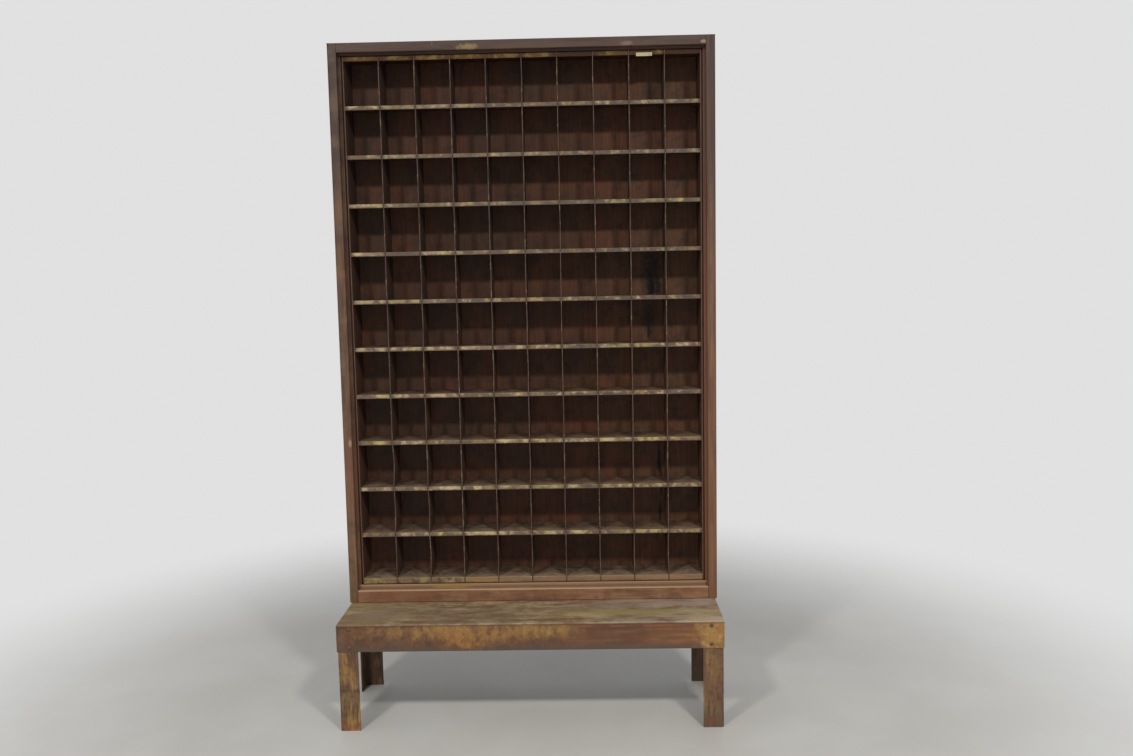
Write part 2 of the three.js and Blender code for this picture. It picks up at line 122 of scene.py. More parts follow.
# Shine of matt paint, where ordinary paint has 0.5
MATT_SHINE = 0.1


def rgb(red, green, blue):
    """Shader colour from the 0 to 255 values that it has on a screen."""
    def linear(value):
        share = value / 255
        return share / 12.92 if share <= 0.04045 else ((share + 0.055) / 1.055) ** 2.4
    return linear(red), linear(green), linear(blue), 1.0


# Paints, dirt and metal
UMBER = rgb(98, 73, 58)
GREY_UMBER = rgb(74, 50, 41)
RED_UMBER = rgb(112, 73, 52)
RED_BROWN = rgb(138, 90, 64)
APRON_BROWN = rgb(104, 67, 44)
TAN_BROWN = rgb(125, 90, 56)
LEG_BROWN = rgb(118, 78, 42)
DARK_UMBER = rgb(54, 38, 30)
INSIDE_BROWN = rgb(96, 61, 38)
INSIDE_RED = rgb(118, 65, 38)
INSIDE_GREY = rgb(80, 63, 43)
INSIDE_TAN = rgb(138, 94, 60)
OCHRE = rgb(161, 124, 64)
SOFT_OCHRE = rgb(152, 129, 84)
ORANGE_OCHRE = rgb(160, 113, 56)
RUST_RED = rgb(107, 66, 42)
PINK_PRIMER = rgb(150, 112, 98)
PALE_TAN = rgb(152, 134, 110)
CREAM = rgb(192, 174, 140)
YELLOW_CREAM = rgb(184, 166, 104)
WORN_TAN = rgb(130, 111, 91)
WORN_GREY = rgb(94, 83, 71)
WARM_TAN = rgb(152, 117, 84)
DUSTY_TAN = rgb(138, 109, 78)
BRIGHT_TAN = rgb(178, 146, 112)
OLIVE_YELLOW = rgb(154, 140, 82)
GREY_TAN = rgb(150, 130, 102)
MAUVE_GREY = rgb(132, 110, 98)
PALE_MAUVE = rgb(164, 144, 128)
EDGE_GREY = rgb(106, 92, 80)
SMEAR_GREY = rgb(70, 62, 58)
GAP_GREY = rgb(86, 70, 58)
DARK_GREY_BROWN = rgb(82, 68, 57)
OLIVE_BROWN = rgb(92, 70, 42)
RUST_ORANGE = rgb(146, 84, 44)
BLACK_STAIN = rgb(15, 10, 8)
DUST = rgb(124, 108, 88)
STEEL = rgb(96, 84, 74)
RUST_BROWN = rgb(88, 56, 32)
CARD = rgb(186, 176, 140)
CARD_STAIN = rgb(160, 142, 96)
FLOOR_GREY = rgb(188, 187, 183)


class Nodes:
    """Adds nodes to one material or group and joins their sockets."""

    def __init__(self, tree):
        self.tree = tree

    def join(self, value, socket):
        if isinstance(value, bpy.types.NodeSocket):
            self.tree.links.new(value, socket)
        else:
            socket.default_value = value

    def add(self, kind, inputs, **settings):
        node = self.tree.nodes.new("ShaderNode" + kind)
        for name, value in settings.items():
            setattr(node, name, value)
        for key, value in inputs.items():
            self.join(value, node.inputs[key])
        return node

    def math(self, operation, first, second=0.0):
        return self.add("Math", {0: first, 1: second}, operation=operation).outputs[0]

    def vector(self, operation, first, second=(0.0, 0.0, 0.0)):
        return self.add("VectorMath", {0: first, 1: second}, operation=operation).outputs[0]

    def split(self, vector):
        return self.add("SeparateXYZ", {0: vector}).outputs

    def ramp(self, value, start, end):
        """0 before start and 1 after end, with a soft change between; start may be the larger."""
        inputs = {"Value": value, "From Min": start, "From Max": end}
        return self.add("MapRange", inputs, interpolation_type="SMOOTHSTEP").outputs[0]

    def mix(self, mask, below, above):
        node = self.add("Mix", {0: mask, 6: below, 7: above}, data_type="RGBA")
        return node.outputs[2]

    def noise(self, place, scale, detail=3.0, roughness=0.55):
        inputs = {"Vector": place, "Scale": scale, "Detail": detail, "Roughness": roughness}
        return self.add("TexNoise", inputs).outputs

    def group(self, tree, inputs):
        node = self.tree.nodes.new("ShaderNodeGroup")
        node.node_tree = tree
        for key, value in inputs.items():
            self.join(value, node.inputs[key])
        return node.outputs


def start_group(name, inputs, outputs):
    """Empty node group with named sockets: its nodes, what comes in and what goes out."""
    kinds = {"value": "NodeSocketFloat", "vector": "NodeSocketVector"}
    tree = bpy.data.node_groups.new(name, "ShaderNodeTree")
    for label, kind in inputs.items():
        tree.interface.new_socket(label, in_out="INPUT", socket_type=kinds[kind])
    for label, kind in outputs.items():
        tree.interface.new_socket(label, in_out="OUTPUT", socket_type=kinds[kind])
    entry = tree.nodes.new("NodeGroupInput").outputs
    leaving = tree.nodes.new("NodeGroupOutput").inputs
    return Nodes(tree), entry, leaving


def ragged_patch_group():
    """Mask of one worn or stained patch: a rounded spot with a ragged, broken edge."""
    inputs = {
        "Place": "vector", "Centre": "vector", "Half size": "vector",
        "Raggedness": "value", "Grain": "value", "Softness": "value",
    }
    make, entry, leaving = start_group("Ragged patch", inputs, {"Mask": "value"})
    from_centre = make.vector("SUBTRACT", entry["Place"], entry["Centre"])
    share = make.vector("DIVIDE", from_centre, entry["Half size"])
    reach = make.add("VectorMath", {0: share}, operation="LENGTH").outputs["Value"]
    wobble = make.math("SUBTRACT", make.noise(entry["Place"], entry["Grain"], 5.0, 0.65)[0], 0.5)
    torn = make.math("ADD", reach, make.math("MULTIPLY", wobble, entry["Raggedness"]))
    outer = make.math("ADD", 1.0, entry["Softness"])
    inner = make.math("SUBTRACT", 1.0, entry["Softness"])
    make.join(make.ramp(torn, outer, inner), leaving["Mask"])
    return make.tree


def streak_group():
    """Drawn-out grain in old brushed paint: fine lines and broad bands."""
    inputs = {"Place": "vector", "Stretch": "vector", "Seed": "vector"}
    outputs = {"Fine": "value", "Broad": "value"}
    make, entry, leaving = start_group("Paint streaks", inputs, outputs)
    moved = make.vector("ADD", entry["Place"], entry["Seed"])
    drawn = make.vector("MULTIPLY", moved, entry["Stretch"])
    fine = make.noise(drawn, 1.0, 5.0, 0.62)[0]
    broad = make.noise(drawn, 0.28, 3.0, 0.5)[0]
    make.join(make.ramp(fine, 0.36, 0.64), leaving["Fine"])
    make.join(make.ramp(broad, 0.38, 0.62), leaving["Broad"])
    return make.tree


def chip_group():
    """Mask of small chips in the paint; Cover is the share that is gone."""
    inputs = {"Place": "vector", "Size": "value", "Cover": "value"}
    make, entry, leaving = start_group("Paint chips", inputs, {"Mask": "value"})
    scale = make.math("DIVIDE", 1.0, entry["Size"])
    flakes = make.noise(entry["Place"], scale, 5.0, 0.62)[0]
    limit = make.math("SUBTRACT", 0.78, make.math("MULTIPLY", entry["Cover"], 0.4))
    edge = make.math("ADD", limit, 0.05)
    make.join(make.ramp(flakes, limit, edge), leaving["Mask"])
    return make.tree


def dust_group():
    """Mask of dust that has settled on faces that look up."""
    inputs = {"Place": "vector", "Amount": "value", "Clump": "value"}
    make, entry, leaving = start_group("Settled dust", inputs, {"Mask": "value"})
    normal = make.add("NewGeometry", {}).outputs["Normal"]
    upward = make.ramp(make.split(normal)[2], 0.35, 0.9)
    cloud = make.noise(entry["Place"], entry["Clump"], 5.0, 0.6)[0]
    thick = make.ramp(cloud, 0.32, 0.66)
    soft = make.math("ADD", make.math("MULTIPLY", thick, 0.7), 0.3)
    amount = make.math("MULTIPLY", soft, entry["Amount"])
    make.join(make.math("MULTIPLY", upward, amount), leaving["Mask"])
    return make.tree


RAGGED_PATCH = ragged_patch_group()
PAINT_STREAKS = streak_group()
PAINT_CHIPS = chip_group()
SETTLED_DUST = dust_group()


class Finish(Nodes):
    """A material whose colour is laid on in coats, from the first paint outwards."""

    def __init__(self, name, colour, roughness):
        self.material = bpy.data.materials.new(name)
        self.material.use_nodes = True
        super().__init__(self.material.node_tree)
        self.shader = self.tree.nodes["Principled BSDF"]
        self.place = self.add("TexCoord", {}).outputs["Object"]
        self.x, self.y, self.z = self.split(self.place)
        self.colour = colour
        self.roughness = roughness

    def coat(self, mask, colour, share=1.0):
        cover = mask if share == 1.0 else self.math("MULTIPLY", mask, share)
        self.colour = self.mix(cover, self.colour, colour)

    def both(self, first, second):
        return self.math("MULTIPLY", first, second)

    def without(self, mask, removed):
        return self.both(mask, self.math("SUBTRACT", 1.0, removed))

    def between(self, value, low, high, soft):
        return self.both(self.ramp(value, low - soft, low + soft), self.ramp(value, high + soft, high - soft))

    def streaks(self, stretch, seed=(0.0, 0.0, 0.0)):
        return self.group(PAINT_STREAKS, {"Place": self.place, "Stretch": stretch, "Seed": seed})

    def chips(self, size, cover):
        return self.group(PAINT_CHIPS, {"Place": self.place, "Size": size, "Cover": cover})["Mask"]

    def dust(self, amount, clump):
        return self.group(SETTLED_DUST, {"Place": self.place, "Amount": amount, "Clump": clump})["Mask"]

    def patch(self, centre, half, ragged=2.2, grain=90.0, softness=0.4):
        inputs = {
            "Place": self.place, "Centre": centre, "Half size": half,
            "Raggedness": ragged, "Grain": grain, "Softness": softness,
        }
        return self.group(RAGGED_PATCH, inputs)["Mask"]

    def spots(self, scale, start, end, detail=3.0):
        return self.ramp(self.noise(self.place, scale, detail)[0], start, end)

    def finish(self, height, depth):
        """Joins the coats to the shader, with a bump of that depth from the height."""
        self.join(self.colour, self.shader.inputs["Base Color"])
        self.join(self.roughness, self.shader.inputs["Roughness"])
        bump = self.add("Bump", {"Height": height, "Distance": depth})
        self.join(bump.outputs[0], self.shader.inputs["Normal"])
        return self.material


def case_coats(make, stretch):
    """Brown paint of the case, greyer at the top and tanner lower down, streaked along the sheet."""
    streaks = make.streaks(stretch)
    other = make.streaks(stretch, (3.1, 1.7, 5.3))
    drift = make.math("ADD", make.z, make.math("MULTIPLY", other["Broad"], 0.25))
    make.coat(make.ramp(drift, 1.0, 1.8), GREY_UMBER, 0.9)
    make.coat(make.ramp(drift, 1.05, 0.5), TAN_BROWN, 0.6)
    to_right = make.ramp(make.x, 0.1, 0.6)
    make.coat(make.both(to_right, make.ramp(make.z, 1.8, 1.2)), RED_UMBER, 0.6)
    make.coat(streaks["Broad"], RED_UMBER, 0.4)
    make.coat(other["Fine"], DARK_UMBER, 0.5)
    make.coat(make.both(streaks["Fine"], other["Broad"]), TAN_BROWN, 0.5)
    flecks = make.chips(0.012, 0.28)
    make.coat(flecks, OCHRE, 0.5)
    make.roughness = make.math("ADD", 0.5, make.math("MULTIPLY", streaks["Fine"], 0.2))
    return make.math("SUBTRACT", make.math("MULTIPLY", streaks["Fine"], 0.35), flecks)


def frame_steps(make):
    """Masks of the two steps from the frame's face back to the lattice: the return and the flange behind it."""
    wall = make.between(make.y, case_front + 5 * MM, case_front + 17 * MM, 2 * MM)
    flange = make.between(make.y, case_front + 19 * MM, case_front + 23 * MM, MM)
    return wall, flange


def upright_paint():
    """Side panels and their stiles, with painted shade towards the top and painted light on the right-hand return
    and flange.
    """
    make = Finish("streaked_upright_paint", UMBER, 0.6)
    height = case_coats(make, (130.0, 130.0, 7.0))
    wall, flange = frame_steps(make)
    make.coat(wall, RUST_RED, 0.6)
    across = make.math("ABSOLUTE", make.x)
    wear_and_highlight = make.between(across, stile_middle - 6 * MM, stile_middle + 2 * MM, 3 * MM)
    on_right = make.ramp(make.x, 0.0, 0.1)
    wear_and_highlight = make.both(wear_and_highlight, make.ramp(make.z, 1.8, 1.4))
    make.coat(make.both(on_right, make.both(wear_and_highlight, make.spots(7.0, 0.40, 0.60, 5.0))), WARM_TAN, 0.25)
    # Partly the return's own red brown and partly painted light: the right-hand return and flange are painted
    # lighter where the frame shades them.
    make.coat(make.both(on_right, make.math("MAXIMUM", wall, flange)), RED_BROWN, 0.6)
    left_flange = make.without(flange, on_right)
    make.coat(left_flange, INSIDE_BROWN, 0.5)
    make.coat(left_flange, DARK_UMBER, 0.3)
    make.coat(make.both(flange, make.ramp(make.z, 0.9, 0.4)), TAN_BROWN, 0.4)
    # Painted shade: the side panels darken towards the top, and more on the left stile, as less light reaches them
    # up there.
    make.coat(make.ramp(make.z, 1.2, 1.7), DARK_UMBER, 0.38)
    make.coat(make.without(make.ramp(make.z, 1.45, 1.7), on_right), DARK_UMBER, 0.55)
    make.coat(make.without(make.spots(11.0, 0.46, 0.62, 5.0), on_right), WARM_TAN, 0.2)
    make.coat(make.without(make.spots(17.0, 0.48, 0.64, 5.0), on_right), DARK_UMBER, 0.3)
    red_stretch = make.patch((-0.535, case_front, 0.70), (0.03, 0.05, 0.10))
    make.coat(red_stretch, RED_UMBER, 0.6)
    make.coat(make.patch((-0.5265, case_front, 0.791), (0.004, 0.02, 0.011), 1.4), PALE_TAN, 0.8)
    make.coat(make.both(on_right, make.ramp(make.z, 1.2, 0.5)), LEG_BROWN, 0.35)
    foot = make.ramp(make.z, 0.42, 0.33)
    make.coat(make.both(foot, make.ramp(make.x, 0.2, -0.2)), OLIVE_BROWN, 0.5)
    return make.finish(height, 0.25 * MM)


def rail_paint():
    """Top and bottom panels and their rails, with dust and a painted highlight on the front of the lower return,
    painted shade in the crease behind it and painted shade over the top panel.
    """
    make = Finish("streaked_rail_paint", UMBER, 0.6)
    height = case_coats(make, (7.0, 90.0, 90.0))
    wall, flange = frame_steps(make)
    low = make.ramp(make.z, 0.45, 0.38)
    make.coat(low, TAN_BROWN, 0.6)
    lines = make.streaks((10.0, 75.0, 75.0), (7.7, 2.2, 3.9))
    make.coat(make.both(low, lines["Broad"]), WARM_TAN, 0.9)
    make.coat(make.both(low, lines["Fine"]), RUST_RED, 0.65)
    make.coat(make.both(low, make.spots(12.0, 0.46, 0.60, 4.0)), WARM_TAN, 0.45)
    make.coat(make.both(low, make.spots(40.0, 0.56, 0.70, 4.0)), DARK_UMBER, 0.4)
    strokes = make.streaks((16.0, 160.0, 160.0), (1.4, 6.6, 0.9))
    make.coat(make.both(low, strokes["Broad"]), RED_BROWN, 0.5)
    make.coat(make.both(low, make.both(strokes["Fine"], make.spots(11.0, 0.44, 0.60))), DARK_UMBER, 0.45)
    low_flange = make.both(low, flange)
    make.coat(low_flange, WARM_TAN, 0.7)
    # Painted shade in the crease: the lower flange darkens towards the return below it.
    flange_foot = make.ramp(make.z, return_top + 7 * MM, return_top + 2 * MM)
    make.coat(make.both(low_flange, flange_foot), UMBER, 0.75)
    flange_edge = make.ramp(make.z, rail_high.z - 5 * MM, rail_high.z - 2 * MM)
    make.coat(make.both(low_flange, flange_edge), BRIGHT_TAN, 0.6)
    yellow = make.patch((-0.245, case_front + 20 * MM, return_top + 7 * MM), (0.062, 0.008, 0.012), 1.8, 40.0)
    make.coat(make.both(low, yellow), OCHRE, 0.6)
    make.coat(make.dust(0.8, 14.0), TAN_BROWN, 0.9)
    make.coat(make.dust(0.8, 60.0), GREY_TAN, 0.5)
    # Painted highlight with dust: the front of the lower return is painted bright where light catches its top edge.
    wear_and_highlight = make.both(low, make.ramp(make.y, case_front + 12 * MM, case_front + 7 * MM))
    make.coat(make.both(wear_and_highlight, make.ramp(make.z, return_top - 2.5 * MM, return_top - MM)), BRIGHT_TAN, 0.8)
    # Painted shade in the crease at the back of the lower return, where it meets the flange.
    corner = make.between(make.y, case_front + 15 * MM, case_front + 19.5 * MM, 1.5 * MM)
    make.coat(make.both(low, corner), UMBER, 0.55)
    # Painted shade: the whole top panel is darkened, more towards the left, as less light reaches the top of the
    # case.
    high = make.ramp(make.z, 1.88, 1.90)
    make.coat(high, DARK_UMBER, 0.34)
    make.coat(make.both(high, make.ramp(make.x, 0.1, -0.4)), DARK_UMBER, 0.2)
    make.coat(make.both(high, make.both(wall, make.dust(1.0, 14.0))), DUST, 0.3)
    make.coat(make.patch((-0.147, case_front, 1.9165), (0.030, 0.02, 0.008)), SOFT_OCHRE, 0.6)
    make.coat(make.patch((0.298, case_front, 1.915), (0.015, 0.02, 0.006)), PINK_PRIMER, 0.45)
    make.coat(make.patch((0.514, case_front, 1.9160), (0.007, 0.02, 0.005), 1.4), PALE_TAN, 0.8)
    return make.finish(height, 0.25 * MM)


def worn_front(make, reach):
    """Mask of the front edge of the lattice, as deep as the reach."""
    return make.ramp(make.y, lattice_front + reach, lattice_front + reach / 2)


def cell_tint(make):
    """A different number from 0 to 1 for each pigeonhole."""
    column = make.math("FLOOR", make.math("DIVIDE", make.math("ADD", make.x, lattice_half), column_pitch))
    above = make.math("SUBTRACT", make.z, lattice_floor - row_pitch / 2)
    row = make.math("FLOOR", make.math("DIVIDE", above, row_pitch))
    cell = make.add("CombineXYZ", {0: column, 2: row}).outputs[0]
    return make.add("TexWhiteNoise", {"Vector": cell}).outputs["Value"]


def toward_divider(make):
    """0 in the middle of each pigeonhole and 1 at the dividers."""
    along = make.math("DIVIDE", make.math("ADD", make.x, lattice_half), column_pitch)
    share = make.math("ABSOLUTE", make.math("SUBTRACT", make.math("FRACT", along), 0.5))
    return make.math("MULTIPLY", share, 2.0)


def below_shelf_top(make):
    """How far a point on a lip is below the top of its shelf, as a share of the lip's height."""
    above = make.math("SUBTRACT", make.z, lattice_floor - row_pitch)
    rise = make.math("FRACT", make.math("DIVIDE", above, row_pitch))
    return make.math("MULTIPLY", make.math("SUBTRACT", 1.0, rise), row_pitch / lip_height)


def lip_tints(make):
    """Colour of the rubbed lips, different in each pigeonhole."""
    tints = make.add("ValToRGB", {0: cell_tint(make)})
    ramp = tints.color_ramp
    stops = ((0.0, PALE_TAN), (0.25, WORN_TAN), (0.5, SOFT_OCHRE), (0.75, WORN_GREY), (1.0, CREAM))
    ramp.elements[0].color = stops[0][1]
    ramp.elements[1].color = stops[-1][1]
    for position, colour in stops[1:-1]:
        ramp.elements.new(position).color = colour
    return tints.outputs[0]


def wandering(make, scale, reach):
    """Uneven number around 0 that shifts the edge of a mask by up to the reach."""
    uneven = make.noise(make.place, scale, 5.0, 0.65)[0]
    return make.math("MULTIPLY", make.math("SUBTRACT", uneven, 0.5), 2 * reach)


def inside_brown(make):
    """Dark brown paint inside the pigeonholes, with redder and greyer clouds."""
    # Painted shade and painted light: darker towards the left columns and tanner towards the right, where more
    # light reaches the pigeonholes.
    make.coat(make.ramp(make.x, 0.05, -0.25), DARK_UMBER, 0.22)
    make.coat(make.ramp(make.x, 0.05, 0.35), INSIDE_TAN, 0.3)
    make.coat(make.spots(9.0, 0.42, 0.62), INSIDE_RED, 0.6)
    make.coat(make.spots(14.0, 0.5, 0.7, 4.0), INSIDE_GREY, 0.45)
    make.coat(make.spots(34.0, 0.5, 0.66, 4.0), DARK_UMBER, 0.45)
    streaks = make.streaks((160.0, 160.0, 12.0))
    make.coat(streaks["Fine"], DARK_UMBER, 0.4)
    return streaks["Fine"]


LIP_SMEARS = (
    (0.150, 1.0647), (0.242, 0.9225), (0.151, 0.9238),
    (0.451, 1.2044), (0.263, 1.208), (0.452, 0.9225),
)
OLIVE_LIPS = ((0.319, 1.0645, 0.042), (0.053, 0.6455, 0.048), (0.390, 0.5105, 0.118))


def shelf_paint():
    """Shelves: lips rubbed down in the middle of each pigeonhole, each in its own tint, and dusty floors with
    painted shade towards the back.
    """
    make = Finish("worn_shelf_paint", INSIDE_BROWN, 0.7)
    grain = inside_brown(make)
    lip = worn_front(make, 2.4 * MM)
    make.coat(lip, GAP_GREY, 0.65)
    uneven = wandering(make, 60.0, 0.4)
    from_end = make.ramp(make.math("ADD", toward_divider(make), uneven), 1.0, 0.72)
    from_below = make.ramp(make.math("ADD", below_shelf_top(make), uneven), 1.0, 0.6)
    kept = make.math("ADD", 0.4, make.math("MULTIPLY", make.ramp(make.x, -0.2, 0.3), 0.5))
    gaps = make.both(kept, make.spots(45.0, 0.56, 0.40, 4.0))
    wear_and_highlight = make.without(make.both(lip, make.both(from_end, from_below)), gaps)
    make.coat(wear_and_highlight, lip_tints(make), 0.72)
    make.coat(make.both(wear_and_highlight, make.spots(17.0, 0.50, 0.58, 4.0)), YELLOW_CREAM, 0.65)
    make.coat(make.both(wear_and_highlight, make.spots(29.0, 0.50, 0.58, 4.0)), CREAM, 0.6)
    make.coat(make.both(lip, make.spots(21.0, 0.51, 0.60, 4.0)), GAP_GREY, 0.85)
    make.coat(make.both(wear_and_highlight, make.spots(130.0, 0.54, 0.66)), OCHRE, 0.25)
    dull = make.both(make.ramp(make.z, 0.9, 1.5), make.spots(20.0, 0.40, 0.54, 4.0))
    make.coat(make.both(lip, dull), GAP_GREY, 0.55)
    grimy = make.patch((0.26, lattice_front, 1.52), (0.20, 0.05, 0.42), 1.2, 9.0, 0.5)
    make.coat(make.both(make.both(lip, grimy), make.spots(36.0, 0.54, 0.46, 4.0)), SMEAR_GREY, 0.55)
    for x, z in LIP_SMEARS:
        smear = make.patch((x, lattice_front, z), (0.024, 0.02, 0.005), 1.6)
        make.coat(smear, SMEAR_GREY, 0.75)
    for x, z, half in OLIVE_LIPS:
        olive = make.patch((x, lattice_front, z), (half, 0.006, 0.012), 0.8)
        make.coat(make.both(olive, wear_and_highlight), OLIVE_YELLOW, 0.8)
    low_rows = make.ramp(make.z, 1.35, 0.45)
    amount = make.math("ADD", 0.18, make.math("MULTIPLY", low_rows, 0.6))
    make.coat(make.dust(amount, 26.0), DUST)
    clumps = make.both(make.dust(amount, 60.0), make.spots(22.0, 0.50, 0.62, 4.0))
    make.coat(clumps, GREY_TAN, 0.5)
    # Painted shade: the shelf floors darken towards the back of each pigeonhole, where little light reaches.
    depth = make.math("ADD", make.y, wandering(make, 24.0, 14 * MM))
    deep = make.ramp(depth, lattice_front + 12 * MM, lattice_front + 56 * MM)
    make.coat(make.both(make.dust(1.0, 40.0), deep), DARK_UMBER, 0.7)
    return make.finish(make.math("SUBTRACT", grain, wear_and_highlight), 0.2 * MM)


ROOF_GOLD = (
    (-0.457, 0.040), (-0.353, 0.030), (-0.254, 0.044), (-0.152, 0.044),
    (-0.051, 0.036), (0.048, 0.040), (0.256, 0.044), (0.386, 0.014),
)


def roof_paint():
    """Roof of the lattice: a dark lip with golden stretches, rubbed a little along its lower half; above that the
    dark is a painted shadow of the top rail.
    """
    make = Finish("worn_roof_paint", INSIDE_BROWN, 0.7)
    grain = inside_brown(make)
    lip = worn_front(make, 2.4 * MM)
    # The lip is painted dark all over; over its upper part, above the shadow edge, this dark is a painted shadow of
    # the top rail.
    make.coat(lip, DARK_UMBER, 0.75)
    make.coat(make.both(lip, make.ramp(make.x, 0.0, 0.1)), DARK_UMBER, 0.4)
    shadow_edge_height = make.math("ADD", make.z, wandering(make, 70.0, 6 * MM))
    low = make.ramp(shadow_edge_height, roof_low.z + 11 * MM, roof_low.z + 7 * MM)
    from_end = make.ramp(make.math("ADD", toward_divider(make), wandering(make, 70.0, 0.36)), 1.0, 0.7)
    wear_and_highlight = make.both(make.both(lip, low), from_end)
    make.coat(wear_and_highlight, WORN_TAN, 0.06)
    for x, half in ROOF_GOLD:
        gold = make.patch((x, lattice_front, roof_low.z + 6 * MM), (half, 0.006, 0.007), 1.4, 60.0, 0.5)
        make.coat(make.both(lip, gold), OCHRE, 0.16)
        make.coat(make.both(gold, make.spots(40.0, 0.46, 0.58, 4.0)), OLIVE_YELLOW, 0.3)
    grimy = make.patch((0.17, lattice_front, roof_low.z), (0.06, 0.05, 0.05), 1.2, 12.0)
    make.coat(make.both(lip, grimy), DARK_UMBER, 0.4)
    right_end = make.ramp(make.x, 0.40, 0.43)
    make.coat(make.both(lip, right_end), DARK_UMBER, 0.35)
    make.shader.inputs["Specular IOR Level"].default_value = MATT_SHINE
    return make.finish(grain, 0.2 * MM)


def floor_liner_paint():
    """Floor of the lattice: thick dust with painted shade towards the back, and a dusty tan lip, golden in one
    pigeonhole.
    """
    make = Finish("dusty_floor_liner_paint", INSIDE_BROWN, 0.75)
    grain = inside_brown(make)
    lip = worn_front(make, 2.4 * MM)
    make.coat(lip, DUSTY_TAN, 0.85)
    streaks = make.streaks((12.0, 90.0, 140.0))
    make.coat(make.both(lip, streaks["Broad"]), WARM_TAN, 0.45)
    make.coat(make.both(lip, streaks["Fine"]), UMBER, 0.45)
    golden = make.patch((-0.152, lattice_front, lattice_floor - 8 * MM), (0.056, 0.01, 0.02), 1.2, 40.0)
    make.coat(make.both(lip, golden), OCHRE, 0.35)
    left_lip = make.both(lip, make.ramp(make.x, -0.17, -0.23))
    make.coat(left_lip, OLIVE_BROWN, 0.45)
    make.coat(make.both(left_lip, make.spots(24.0, 0.44, 0.60, 5.0)), OLIVE_YELLOW, 0.6)
    make.coat(make.both(left_lip, make.spots(44.0, 0.52, 0.62, 5.0)), DARK_UMBER, 0.55)
    make.coat(make.both(lip, make.spots(30.0, 0.54, 0.64, 4.0)), GREY_TAN, 0.6)
    below = make.math("ADD", make.z, wandering(make, 28.0, 5 * MM))
    shaded = make.ramp(below, liner_low.z + 5 * MM, liner_low.z + MM)
    make.coat(make.both(lip, shaded), DARK_UMBER, 0.5)
    make.coat(make.dust(0.95, 30.0), DUST)
    make.coat(make.both(make.dust(1.0, 55.0), make.spots(18.0, 0.48, 0.62)), GREY_TAN, 0.5)
    make.coat(make.both(make.dust(1.0, 40.0), make.spots(40.0, 0.52, 0.64, 4.0)), DARK_UMBER, 0.4)
    depth = make.math("ADD", make.y, wandering(make, 24.0, 22 * MM))
    thick = make.dust(1.0, 40.0)
    near = make.ramp(depth, lattice_front + 34 * MM, lattice_front)
    make.coat(make.both(thick, near), GREY_TAN, 0.3)
    # Painted shade: the floor darkens towards the back of each pigeonhole.
    deep = make.ramp(depth, lattice_front + 10 * MM, lattice_front + 66 * MM)
    make.coat(make.both(thick, deep), DARK_UMBER, 0.66)
    return make.finish(grain, 0.2 * MM)


def divider_paint():
    """Dividers and end liners: dark paint under painted shade that deepens towards the top, with their folded front
    edges rubbed to grey brown.
    """
    make = Finish("worn_divider_paint", INSIDE_BROWN, 0.7)
    grain = inside_brown(make)
    # Painted shade over the dividers and end liners, heavier above 1 m.
    shaded = make.math("ADD", 0.5, make.math("MULTIPLY", make.ramp(make.z, 1.0, 1.5), 0.3))
    make.coat(shaded, DARK_UMBER)
    edge = worn_front(make, 2.6 * MM)
    worn = make.math("ADD", 0.15, make.math("MULTIPLY", make.spots(22.0, 0.38, 0.58, 5.0), 0.85))
    make.coat(make.both(edge, worn), EDGE_GREY, 0.54)
    make.coat(make.both(edge, make.spots(50.0, 0.56, 0.66, 4.0)), GREY_TAN, 0.5)
    make.coat(make.both(edge, make.spots(36.0, 0.56, 0.66, 4.0)), RUST_RED, 0.3)
    outer = make.ramp(make.math("ABSOLUTE", make.x), lattice_half - 20 * MM, lattice_half - 10 * MM)
    make.coat(make.both(edge, outer), RED_UMBER, 0.7)
    return make.finish(grain, 0.15 * MM)


STAIN_DEPTH = 0.35 * MM
STAINS = (
    ((0.372, 1.278), (0.027, 0.060), 0.7, 0.8),
    ((0.368, 1.238), (0.012, 0.036), 0.4, 0.95),
    ((0.390, 1.236), (0.008, 0.032), 0.5, 0.8),
    ((0.362, 1.146), (0.018, 0.038), 0.7, 0.8),
    ((0.3615, 1.097), (0.005, 0.021), 0.4, 0.9),
    ((0.388, 0.700), (0.005, 0.046), 0.4, 0.9),
    ((0.394, 0.640), (0.004, 0.046), 0.4, 0.9),
    ((0.390, 0.545), (0.004, 0.036), 0.4, 0.9),
)


def back_paint():
    """Back sheet: mottled dark brown with a few black stains and runs."""
    make = Finish("mottled_back_paint", INSIDE_BROWN, 0.7)
    grain = inside_brown(make)
    make.coat(make.chips(0.02, 0.3), RUST_RED, 0.4)
    for (x, z), (half_x, half_z), softness, share in STAINS:
        stain = make.patch((x, back_low.y, z), (half_x, STAIN_DEPTH, half_z), 1.6, 70.0, softness)
        make.coat(stain, BLACK_STAIN, share)
    return make.finish(grain, 0.15 * MM)


